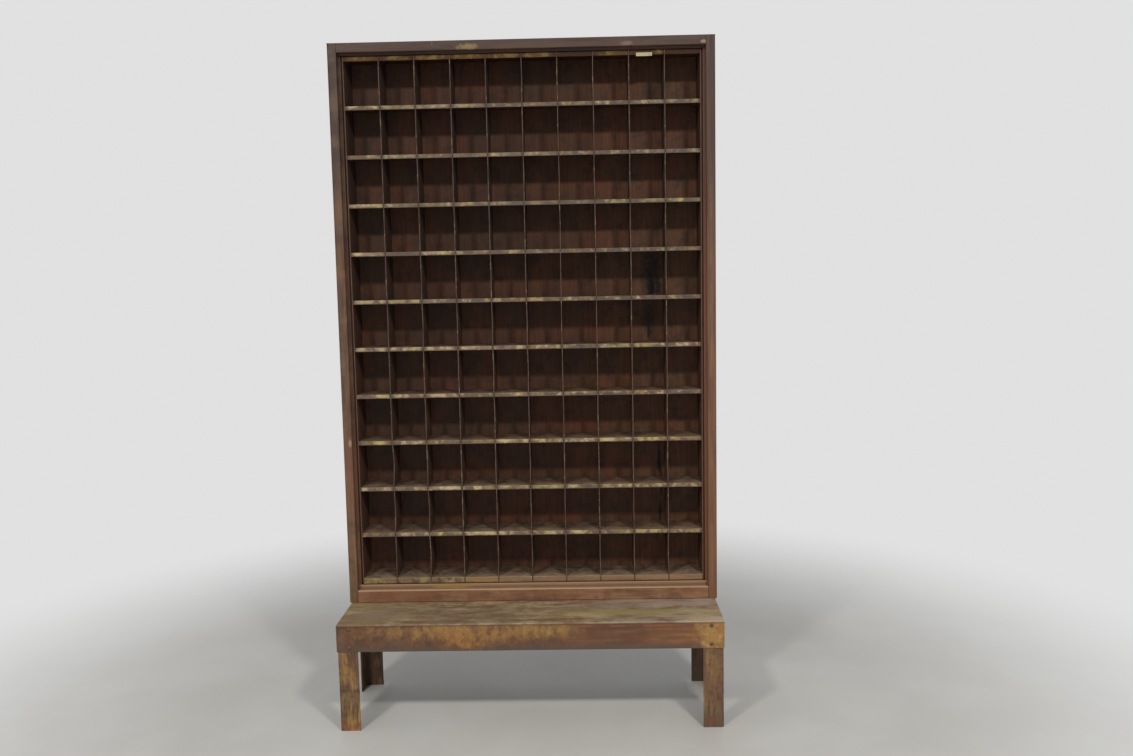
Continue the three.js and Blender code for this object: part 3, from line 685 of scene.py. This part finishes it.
def stand_top_paint():
    """Top of the stand: dusty tan, in blotches drawn out along its length, paler and olive on the right."""
    make = Finish("dusty_stand_top_paint", TAN_BROWN, 0.75)
    bands = make.streaks((6.0, 26.0, 26.0))
    marks = make.streaks((14.0, 44.0, 44.0), (2.3, 4.1, 0.7))
    make.coat(bands["Broad"], GREY_TAN, 0.7)
    make.coat(bands["Fine"], OLIVE_BROWN, 0.8)
    make.coat(marks["Fine"], CREAM, 0.5)
    make.coat(marks["Broad"], UMBER, 0.5)
    make.coat(make.spots(16.0, 0.5, 0.62, 4.0), RUST_RED, 0.45)
    make.coat(make.spots(70.0, 0.5, 0.66, 5.0), OLIVE_BROWN, 0.4)
    top = stand_high.z
    streak = make.patch((0.33, -0.085, top), (0.27, 0.030, 0.05), 1.8, 12.0, 0.6)
    make.coat(streak, OLIVE_YELLOW, 0.6)
    left = make.patch((-0.46, -0.05, top), (0.10, 0.12, 0.05), 2.0, 16.0, 0.6)
    make.coat(left, OLIVE_YELLOW, 0.25)
    grey = make.patch((-0.44, -0.07, top), (0.060, 0.060, 0.05), 1.8, 24.0, 0.6)
    make.coat(grey, MAUVE_GREY, 0.5)
    mauve = make.patch((0.40, 0.0, top), (0.22, 0.035, 0.05), 1.6, 14.0, 0.6)
    make.coat(mauve, MAUVE_GREY, 0.7)
    right_front = make.patch((0.50, stand_front, top), (0.08, 0.045, 0.05), 1.6, 20.0, 0.6)
    make.coat(right_front, CREAM, 0.5)
    make.coat(make.both(make.ramp(make.x, 0.05, 0.45), marks["Fine"]), PALE_MAUVE, 0.6)
    make.coat(make.ramp(make.x, 0.0, -0.4), OLIVE_BROWN, 0.18)
    make.coat(make.dust(0.12, 20.0), DUST)
    seam = make.ramp(make.z, top - 2 * MM, top - 4 * MM)
    make.coat(seam, DARK_UMBER, 0.45)
    return make.finish(marks["Fine"], 0.2 * MM)


def apron_paint():
    """Aprons: red brown, worn to ochre along the top and to orange lower down, streaked on the right."""
    make = Finish("scuffed_apron_paint", APRON_BROWN, 0.6)
    blotches = make.streaks((42.0, 42.0, 26.0))
    lines = make.streaks((11.0, 11.0, 85.0), (4.4, 1.3, 2.8))
    strokes = make.streaks((20.0, 20.0, 190.0), (1.9, 6.1, 3.3))
    middle = (apron_low.z + apron_high.z) / 2
    make.coat(blotches["Broad"], UMBER, 0.4)
    make.coat(blotches["Fine"], TAN_BROWN, 0.4)
    to_right = make.ramp(make.x, 0.04, 0.16)
    make.coat(make.both(to_right, lines["Broad"]), RED_BROWN, 0.45)
    make.coat(make.both(to_right, lines["Fine"]), RUST_RED, 0.8)
    make.coat(make.both(to_right, make.both(strokes["Fine"], make.spots(16.0, 0.45, 0.60))), RUST_ORANGE, 0.4)
    upper = make.patch((-0.14, stand_front, apron_high.z - 16 * MM), (0.235, 0.05, 0.024), 1.8, 34.0, 0.6)
    make.coat(upper, ORANGE_OCHRE, 0.45)
    make.coat(make.both(upper, blotches["Fine"]), OCHRE, 0.65)
    orange = make.patch((-0.18, stand_front, middle - 6 * MM), (0.062, 0.05, 0.036), 1.8, 34.0, 0.6)
    make.coat(orange, RUST_ORANGE, 0.35)
    make.coat(make.both(orange, make.spots(30.0, 0.40, 0.56, 4.0)), ORANGE_OCHRE, 0.85)
    yellow = make.patch((0.06, stand_front, apron_high.z - 17 * MM), (0.07, 0.05, 0.014), 2.0, 40.0, 0.5)
    make.coat(yellow, OCHRE, 0.7)
    tan = make.patch((0.40, stand_front, middle + 10 * MM), (0.075, 0.05, 0.030), 2.0, 30.0, 0.6)
    make.coat(make.both(tan, lines["Fine"]), ORANGE_OCHRE, 0.45)
    make.coat(make.spots(24.0, 0.50, 0.62, 4.0), RUST_RED, 0.5)
    make.coat(make.without(make.spots(46.0, 0.50, 0.62, 5.0), to_right), DARK_UMBER, 0.4)
    make.coat(make.both(to_right, strokes["Broad"]), DARK_UMBER, 0.4)
    specks = make.streaks((210.0, 210.0, 80.0), (0.7, 3.7, 1.1))
    make.coat(make.without(specks["Fine"], to_right), DARK_UMBER, 0.32)
    make.coat(make.both(specks["Broad"], upper), OCHRE, 0.35)
    top_line = make.between(make.z, apron_high.z - 8 * MM, apron_high.z - 4 * MM, 2 * MM)
    make.coat(make.both(to_right, make.both(top_line, make.spots(14.0, 0.42, 0.56))), RUST_ORANGE, 0.6)
    ochre_end = make.patch((0.514, stand_front, middle), (0.038, 0.05, 0.06), 3.0, 44.0, 0.8)
    make.coat(ochre_end, OCHRE, 0.85)
    make.coat(make.both(ochre_end, make.spots(80.0, 0.52, 0.66, 4.0)), CREAM, 0.35)
    make.coat(make.both(ochre_end, make.spots(46.0, 0.52, 0.64, 4.0)), RUST_ORANGE, 0.6)
    # Darker grey brown band along the bottom edge of the aprons, left out where the paint is worn to ochre and
    # orange.
    edge_height = make.math("ADD", make.z, wandering(make, 30.0, 12 * MM))
    dark_bottom_band = make.ramp(edge_height, apron_low.z + 24 * MM, apron_low.z + 4 * MM)
    worn = make.math("MAXIMUM", ochre_end, make.both(orange, orange))
    make.coat(make.without(dark_bottom_band, worn), DARK_GREY_BROWN, 0.75)
    seam = make.ramp(make.z, apron_high.z - 4 * MM, apron_high.z)
    make.coat(seam, DARK_UMBER, 0.35)
    grain = make.math("ADD", blotches["Fine"], make.both(to_right, strokes["Fine"]))
    return make.finish(grain, 0.2 * MM)


LEFT_LEG_MARKS = (
    ((-0.520, 0.205), (0.020, 0.020), RUST_RED, 0.6),
    ((-0.522, 0.172), (0.015, 0.034), OCHRE, 0.9),
    ((-0.504, 0.158), (0.012, 0.028), OCHRE, 0.6),
    ((-0.500, 0.140), (0.016, 0.012), MAUVE_GREY, 0.5),
    ((-0.510, 0.117), (0.036, 0.004), DARK_UMBER, 0.9),
    ((-0.512, 0.088), (0.030, 0.024), SOFT_OCHRE, 0.7),
    ((-0.510, 0.068), (0.036, 0.004), UMBER, 0.8),
    ((-0.510, 0.042), (0.034, 0.014), DARK_GREY_BROWN, 0.8),
    ((-0.505, 0.014), (0.034, 0.016), RUST_ORANGE, 0.8),
)


def leg_paint():
    """Legs: plain brown with streaks down them, scuffed on the left, with painted shade on the rear legs."""
    make = Finish("scuffed_leg_paint", LEG_BROWN, 0.6)
    streaks = make.streaks((120.0, 120.0, 9.0))
    make.coat(streaks["Broad"], RED_UMBER, 0.5)
    make.coat(streaks["Fine"], UMBER, 0.6)
    make.coat(make.spots(50.0, 0.54, 0.66, 4.0), RUST_RED, 0.4)
    make.coat(make.ramp(make.x, 0.0, 0.2), GREY_TAN, 0.14)
    strokes = make.streaks((150.0, 150.0, 30.0), (2.9, 5.1, 0.3))
    broken = make.math("ADD", 0.3, make.math("MULTIPLY", strokes["Fine"], 0.7))
    for (x, z), (half_x, half_z), colour, share in LEFT_LEG_MARKS:
        mark = make.patch((x, stand_front, z), (half_x, 0.02, half_z), 2.4, 50.0, 0.7)
        make.coat(make.both(mark, broken), colour, share)
    golden = make.patch((0.512, stand_front, 0.19), (0.014, 0.02, 0.05), 1.8, 40.0, 0.7)
    make.coat(make.both(golden, broken), OCHRE, 0.7)
    runs = make.streaks((120.0, 120.0, 16.0), (6.2, 0.8, 4.4))
    make.coat(make.both(strokes["Fine"], strokes["Broad"]), DARK_UMBER, 0.35)
    make.coat(runs["Fine"], DARK_UMBER, 0.42)
    make.coat(make.spots(75.0, 0.50, 0.62, 5.0), DARK_UMBER, 0.35)
    golden_runs = make.without(make.both(runs["Broad"], make.spots(22.0, 0.34, 0.54)), runs["Fine"])
    make.coat(golden_runs, OCHRE, 0.95)
    right_foot = make.both(make.ramp(make.x, 0.0, 0.2), make.ramp(make.z, 0.085, 0.02))
    make.coat(right_foot, DARK_GREY_BROWN, 0.55)
    make.coat(make.patch((0.508, stand_front, 0.022), (0.016, 0.02, 0.010)), RUST_RED, 0.8)
    # Painted shade: the rear legs, under the stand, are darkened.
    rear_leg_shade = make.ramp(make.y, -0.06, 0.05)
    make.coat(rear_leg_shade, DARK_UMBER, 0.6)
    return make.finish(streaks["Fine"], 0.25 * MM)


def bolt_steel():
    """Steel bolts, rusty all over and painted over on the left."""
    make = Finish("rusty_bolt_steel", STEEL, 0.8)
    rust = make.spots(220.0, 0.32, 0.50, 4.0)
    make.coat(rust, RUST_BROWN, 0.95)
    make.coat(make.spots(160.0, 0.40, 0.60, 4.0), OCHRE, 0.4)
    painted = make.ramp(make.x, 0.1, -0.1)
    make.coat(painted, APRON_BROWN, 0.9)
    bare = make.without(make.math("SUBTRACT", 0.3, make.math("MULTIPLY", rust, 0.3)), painted)
    make.join(bare, make.shader.inputs["Metallic"])
    return make.finish(rust, 0.1 * MM)


def card_paper():
    """Yellowed card with a stained edge."""
    make = Finish("yellowed_card", CARD, 0.8)
    make.coat(make.spots(90.0, 0.48, 0.62, 4.0), CARD_STAIN, 0.6)
    make.coat(make.chips(0.004, 0.4), WORN_TAN, 0.5)
    fibres = make.noise(make.place, 900.0, 3.0)[0]
    return make.finish(fibres, 0.05 * MM)


def paint(material, names):
    for name in names:
        nodes[name].data.materials.clear()
        nodes[name].data.materials.append(material)


def starting(*words):
    return sorted(name for name in nodes if name.startswith(words))


def paint_all():
    paint(upright_paint(), ("case_left_side", "case_right_side"))
    paint(rail_paint(), ("case_top", "case_bottom"))
    paint(shelf_paint(), starting("shelf"))
    paint(roof_paint(), ("top_liner",))
    paint(floor_liner_paint(), ("bottom_liner",))
    paint(divider_paint(), starting("divider", "left_end_liner", "right_end_liner"))
    paint(back_paint(), ("case_back",))
    paint(stand_top_paint(), ("stand_top",))
    paint(apron_paint(), [name for name in nodes if name.endswith("_apron")])
    paint(leg_paint(), [name for name in nodes if name.endswith("_leg")])
    paint(bolt_steel(), [name for name in nodes if "_bolt_" in name])


def only(thing):
    """Selects one object alone and makes it active."""
    bpy.ops.object.select_all(action="DESELECT")
    thing.select_set(True)
    bpy.context.view_layer.objects.active = thing


def edit(thing):
    only(thing)
    bpy.ops.object.mode_set(mode="EDIT")
    bpy.ops.mesh.select_mode(type="VERT")


def leave_edit():
    bpy.ops.object.mode_set(mode="OBJECT")


def select_where(thing, test):
    """In edit mode, selects the vertices whose place passes the test."""
    grid = bmesh.from_edit_mesh(thing.data)
    for vertex in grid.verts:
        vertex.select_set(test(vertex.co))
    grid.select_flush(True)
    grid.select_flush(False)
    bmesh.update_edit_mesh(thing.data)


def new_object(name, mesh):
    thing = bpy.data.objects.new(name, mesh)
    bpy.context.scene.collection.objects.link(thing)
    return thing


def stand_for(thing, node):
    """Puts a finished piece on the body in place of a CAD node."""
    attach(thing, "root")
    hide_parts(node)


def divider_sheet():
    """First divider as one merged sheet, cut across into bands so that it can bow."""
    sheet = new_object("divider_sheet", nodes["divider_01"].data.copy())
    edit(sheet)
    bpy.ops.mesh.select_all(action="SELECT")
    bpy.ops.mesh.remove_doubles(threshold=0.001 * MM)
    bpy.ops.mesh.dissolve_limited(angle_limit=math.radians(0.5))
    for band in range(1, ROWS * BANDS_PER_ROW):
        bpy.ops.mesh.select_all(action="SELECT")
        height = lattice_floor + band * row_pitch / BANDS_PER_ROW
        bpy.ops.mesh.bisect(plane_co=(0.0, 0.0, height), plane_no=(0.0, 0.0, 1.0))
    for depth in SHEET_CUTS:
        bpy.ops.mesh.select_all(action="SELECT")
        bpy.ops.mesh.bisect(plane_co=(0.0, lattice_front + depth, 0.0), plane_no=(0.0, 1.0, 0.0))
    leave_edit()
    return sheet


def bow(sheet, row, push):
    """Pushes the front edge of a divider sideways, half way up one row."""
    middle = lattice_floor + (row + 0.5) * row_pitch
    near = row_pitch / BANDS_PER_ROW / 2
    select_where(sheet, lambda place: abs(place.z - middle) < near and place.y < lattice_front + 10 * MM)
    bpy.ops.transform.translate(
        value=(push, 0.0, 0.0),
        use_proportional_edit=True,
        proportional_edit_falloff="SMOOTH",
        proportional_size=BOW_REACH * row_pitch,
    )


def bow_dividers():
    """Dividers as old sheets: each a little bowed between the shelves, and some knocked further."""
    chance = random.Random(BOW_SEED)
    first = divider_sheet()
    for number, node in enumerate(starting("divider")):
        sheet = new_object("bowed_" + node, first.data.copy())
        sheet.data.transform(Matrix.Translation((number * column_pitch, 0.0, 0.0)))
        edit(sheet)
        for row in range(ROWS):
            drift = chance.uniform(-BOW_SPREAD, BOW_SPREAD)
            bow(sheet, row, KNOCKED_ROWS.get((node, row), drift))
        bpy.ops.mesh.select_all(action="SELECT")
        bpy.ops.mesh.quads_convert_to_tris()
        leave_edit()
        only(sheet)
        bpy.ops.object.shade_smooth_by_angle(angle=math.radians(35))
        stand_for(sheet, node)
    bpy.data.objects.remove(first)


def domed_head():
    """Head and shank of a bolt along +Z: half a ball pressed flat, narrowed to the shank's width."""
    bpy.ops.object.select_all(action="DESELECT")
    bpy.ops.mesh.primitive_uv_sphere_add(segments=20, ring_count=12, radius=HEAD_WIDTH / 2)
    head = bpy.context.object
    edit(head)
    bpy.ops.mesh.select_all(action="SELECT")
    bpy.ops.mesh.bisect(plane_co=(0.0, 0.0, 0.0), plane_no=(0.0, 0.0, 1.0), clear_inner=True)
    bpy.ops.mesh.select_all(action="SELECT")
    flatter = HEAD_HEIGHT / (HEAD_WIDTH / 2)
    bpy.ops.transform.resize(value=(1.0, 1.0, flatter), center_override=(0.0, 0.0, 0.0))
    select_where(head, lambda place: place.z < 0.01 * MM)
    bpy.ops.mesh.extrude_region_move()
    narrower = SHANK_WIDTH / HEAD_WIDTH
    bpy.ops.transform.resize(value=(narrower, narrower, 1.0), center_override=(0.0, 0.0, 0.0))
    leave_edit()
    return head


def square_nut(grip):
    """Square nut below the origin, with its corners turned off."""
    bpy.ops.object.select_all(action="DESELECT")
    bpy.ops.mesh.primitive_cube_add(size=NUT_WIDTH, location=(0.0, 0.0, -grip - NUT_HEIGHT / 2))
    nut = bpy.context.object
    edit(nut)
    bpy.ops.mesh.select_all(action="SELECT")
    bpy.ops.transform.resize(value=(1.0, 1.0, NUT_HEIGHT / NUT_WIDTH), center_override=nut.location)
    bpy.ops.mesh.bevel(offset=0.7 * MM, segments=2, affect="EDGES")
    leave_edit()
    only(nut)
    bpy.ops.object.transform_apply(location=True, rotation=False, scale=False)
    return nut


def bolt_mesh(grip):
    """Whole bolt with its nut, the underside of the head at the origin."""
    bolt = domed_head()
    edit(bolt)
    rim = SHANK_WIDTH / 2 + 0.05 * MM
    select_where(bolt, lambda place: place.z < 0.01 * MM and place.xy.length < rim)
    tail = grip + NUT_HEIGHT + BOLT_TAIL
    bpy.ops.mesh.extrude_region_move(TRANSFORM_OT_translate={"value": (0.0, 0.0, 0.5 * MM - tail)})
    bpy.ops.mesh.extrude_region_move(TRANSFORM_OT_translate={"value": (0.0, 0.0, -0.5 * MM)})
    bpy.ops.transform.resize(value=(0.8, 0.8, 1.0), center_override=(0.0, 0.0, 0.0))
    bpy.ops.mesh.edge_face_add()
    leave_edit()
    nut = square_nut(grip)
    only(bolt)
    nut.select_set(True)
    bpy.ops.object.join()
    bpy.ops.object.shade_smooth_by_angle(angle=math.radians(40))
    mesh = bolt.data.copy()
    bpy.data.objects.remove(bolt)
    return mesh


def bolt_axis(node, low, high):
    """Direction that a bolt's head points to."""
    if node.startswith("case_bolt"):
        return Vector((0.0, 0.0, 1.0))
    if node.endswith("side_face"):
        return Vector((math.copysign(1.0, low.x + high.x), 0.0, 0.0))
    return Vector((0.0, math.copysign(1.0, low.y + high.y), 0.0))


def set_bolts():
    """Smooth bolts in place of the CAD ones, modelled once for each grip."""
    finished = bpy.data.materials["rusty_bolt_steel"]
    models = {}
    for node in [name for name in nodes if "_bolt_" in name]:
        low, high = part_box(node)
        axis = bolt_axis(node, low, high)
        length = abs((high - low).dot(axis))
        grip = round(length - HEAD_HEIGHT - NUT_HEIGHT - BOLT_TAIL, 5)
        if grip not in models:
            models[grip] = bolt_mesh(grip)
        mesh = models[grip].copy()
        top = (low + high) / 2 + axis * length / 2
        turn = Vector((0.0, 0.0, 1.0)).rotation_difference(axis).to_matrix().to_4x4()
        mesh.transform(Matrix.Translation(top - axis * HEAD_HEIGHT) @ turn)
        mesh.materials.clear()
        mesh.materials.append(finished)
        stand_for(new_object("domed_" + node, mesh), node)


def stick_card():
    """Small blank card on the roof's lip, with its right end lifted."""
    bpy.ops.object.select_all(action="DESELECT")
    bpy.ops.mesh.primitive_grid_add(x_subdivisions=18, y_subdivisions=6, size=1.0, rotation=(math.pi / 2, 0.0, 0.0))
    card = bpy.context.object
    card.name = "lip_card"
    card.scale = (CARD_SIZE[0], CARD_SIZE[1], 1.0)
    card.location = CARD_MIDDLE
    bpy.ops.object.transform_apply(location=True, rotation=True, scale=True)
    edit(card)
    end = CARD_MIDDLE[0] + CARD_SIZE[0] / 2
    select_where(card, lambda place: place.x > end - MM and place.z < CARD_MIDDLE[2])
    bpy.ops.transform.translate(
        value=(0.0, -CARD_LIFT, 0.0),
        use_proportional_edit=True,
        proportional_edit_falloff="SMOOTH",
        proportional_size=CARD_SIZE[0] / 3,
    )
    leave_edit()
    thicken = card.modifiers.new("thickness", "SOLIDIFY")
    thicken.thickness = CARD_THICKNESS
    only(card)
    bpy.ops.object.modifier_apply(modifier=thicken.name)
    bpy.ops.object.shade_smooth_by_angle(angle=math.radians(30))
    card.data.materials.append(card_paper())
    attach(card, "root")


def lay_floor():
    """Plain pale floor that fades into the backdrop away from the object."""
    bpy.ops.object.select_all(action="DESELECT")
    bpy.ops.mesh.primitive_plane_add(size=FLOOR_SIZE)
    floor = bpy.context.object
    floor.name = "floor"
    make = Finish("pale_floor", FLOOR_GREY, 0.85)
    make.coat(make.spots(2.5, 0.35, 0.65, 6.0), DUST, 0.12)
    make.join(make.colour, make.shader.inputs["Base Color"])
    distance = make.add("VectorMath", {0: make.place}, operation="LENGTH").outputs["Value"]
    clear = make.add("BsdfTransparent", {}).outputs[0]
    fade = make.ramp(distance, FLOOR_CLEAR_RADIUS, FLOOR_FADE_RADIUS)
    blend = make.add("MixShader", {0: fade, 1: make.shader.outputs[0], 2: clear})
    make.join(blend.outputs[0], make.tree.nodes["Material Output"].inputs["Surface"])
    floor.data.materials.append(make.material)


def light_room():
    """Two small lamps high in front, shining straight down, and an even pale room."""
    for name, (place, power) in LAMPS.items():
        data = bpy.data.lights.new(name, "AREA")
        data.shape = "SQUARE"
        data.size = LAMP_WIDTH
        data.energy = power
        data.color = LAMP_COLOUR
        lamp = bpy.data.objects.new(name, data)
        bpy.context.scene.collection.objects.link(lamp)
        lamp.location = place
    world = bpy.data.worlds.new("pale_room")
    bpy.context.scene.world = world
    world.use_nodes = True
    make = Nodes(world.node_tree)
    glow = world.node_tree.nodes["Background"]
    glow.inputs["Color"].default_value = ROOM_COLOUR
    glow.inputs["Strength"].default_value = ROOM_LIGHT
    seen = make.add("Background", {"Color": (1.0, 1.0, 1.0, 1.0), "Strength": BACKDROP_LIGHT})
    from_camera = make.add("LightPath", {}).outputs["Is Camera Ray"]
    blend = make.add("MixShader", {0: from_camera, 1: glow.outputs[0], 2: seen.outputs[0]})
    make.join(blend.outputs[0], world.node_tree.nodes["World Output"].inputs["Surface"])


def aim_camera():
    data = bpy.data.cameras.new("front_camera")
    data.sensor_width = SENSOR_WIDTH
    data.lens = CAMERA_LENS
    camera = bpy.data.objects.new("front_camera", data)
    bpy.context.scene.collection.objects.link(camera)
    upright = Matrix.Rotation(math.radians(90), 4, "X")
    turn = Matrix.Rotation(CAMERA_YAW, 4, "Z") @ Matrix.Rotation(CAMERA_PITCH, 4, "X")
    roll = Matrix.Rotation(CAMERA_ROLL, 4, "Y")
    camera.matrix_world = Matrix.Translation(CAMERA_PLACE) @ turn @ roll @ upright
    bpy.context.scene.camera = camera


aim_camera()
light_room()
lay_floor()
paint_all()
bow_dividers()
set_bolts()
stick_card()
bpy.context.scene.view_settings.view_transform = "Standard"
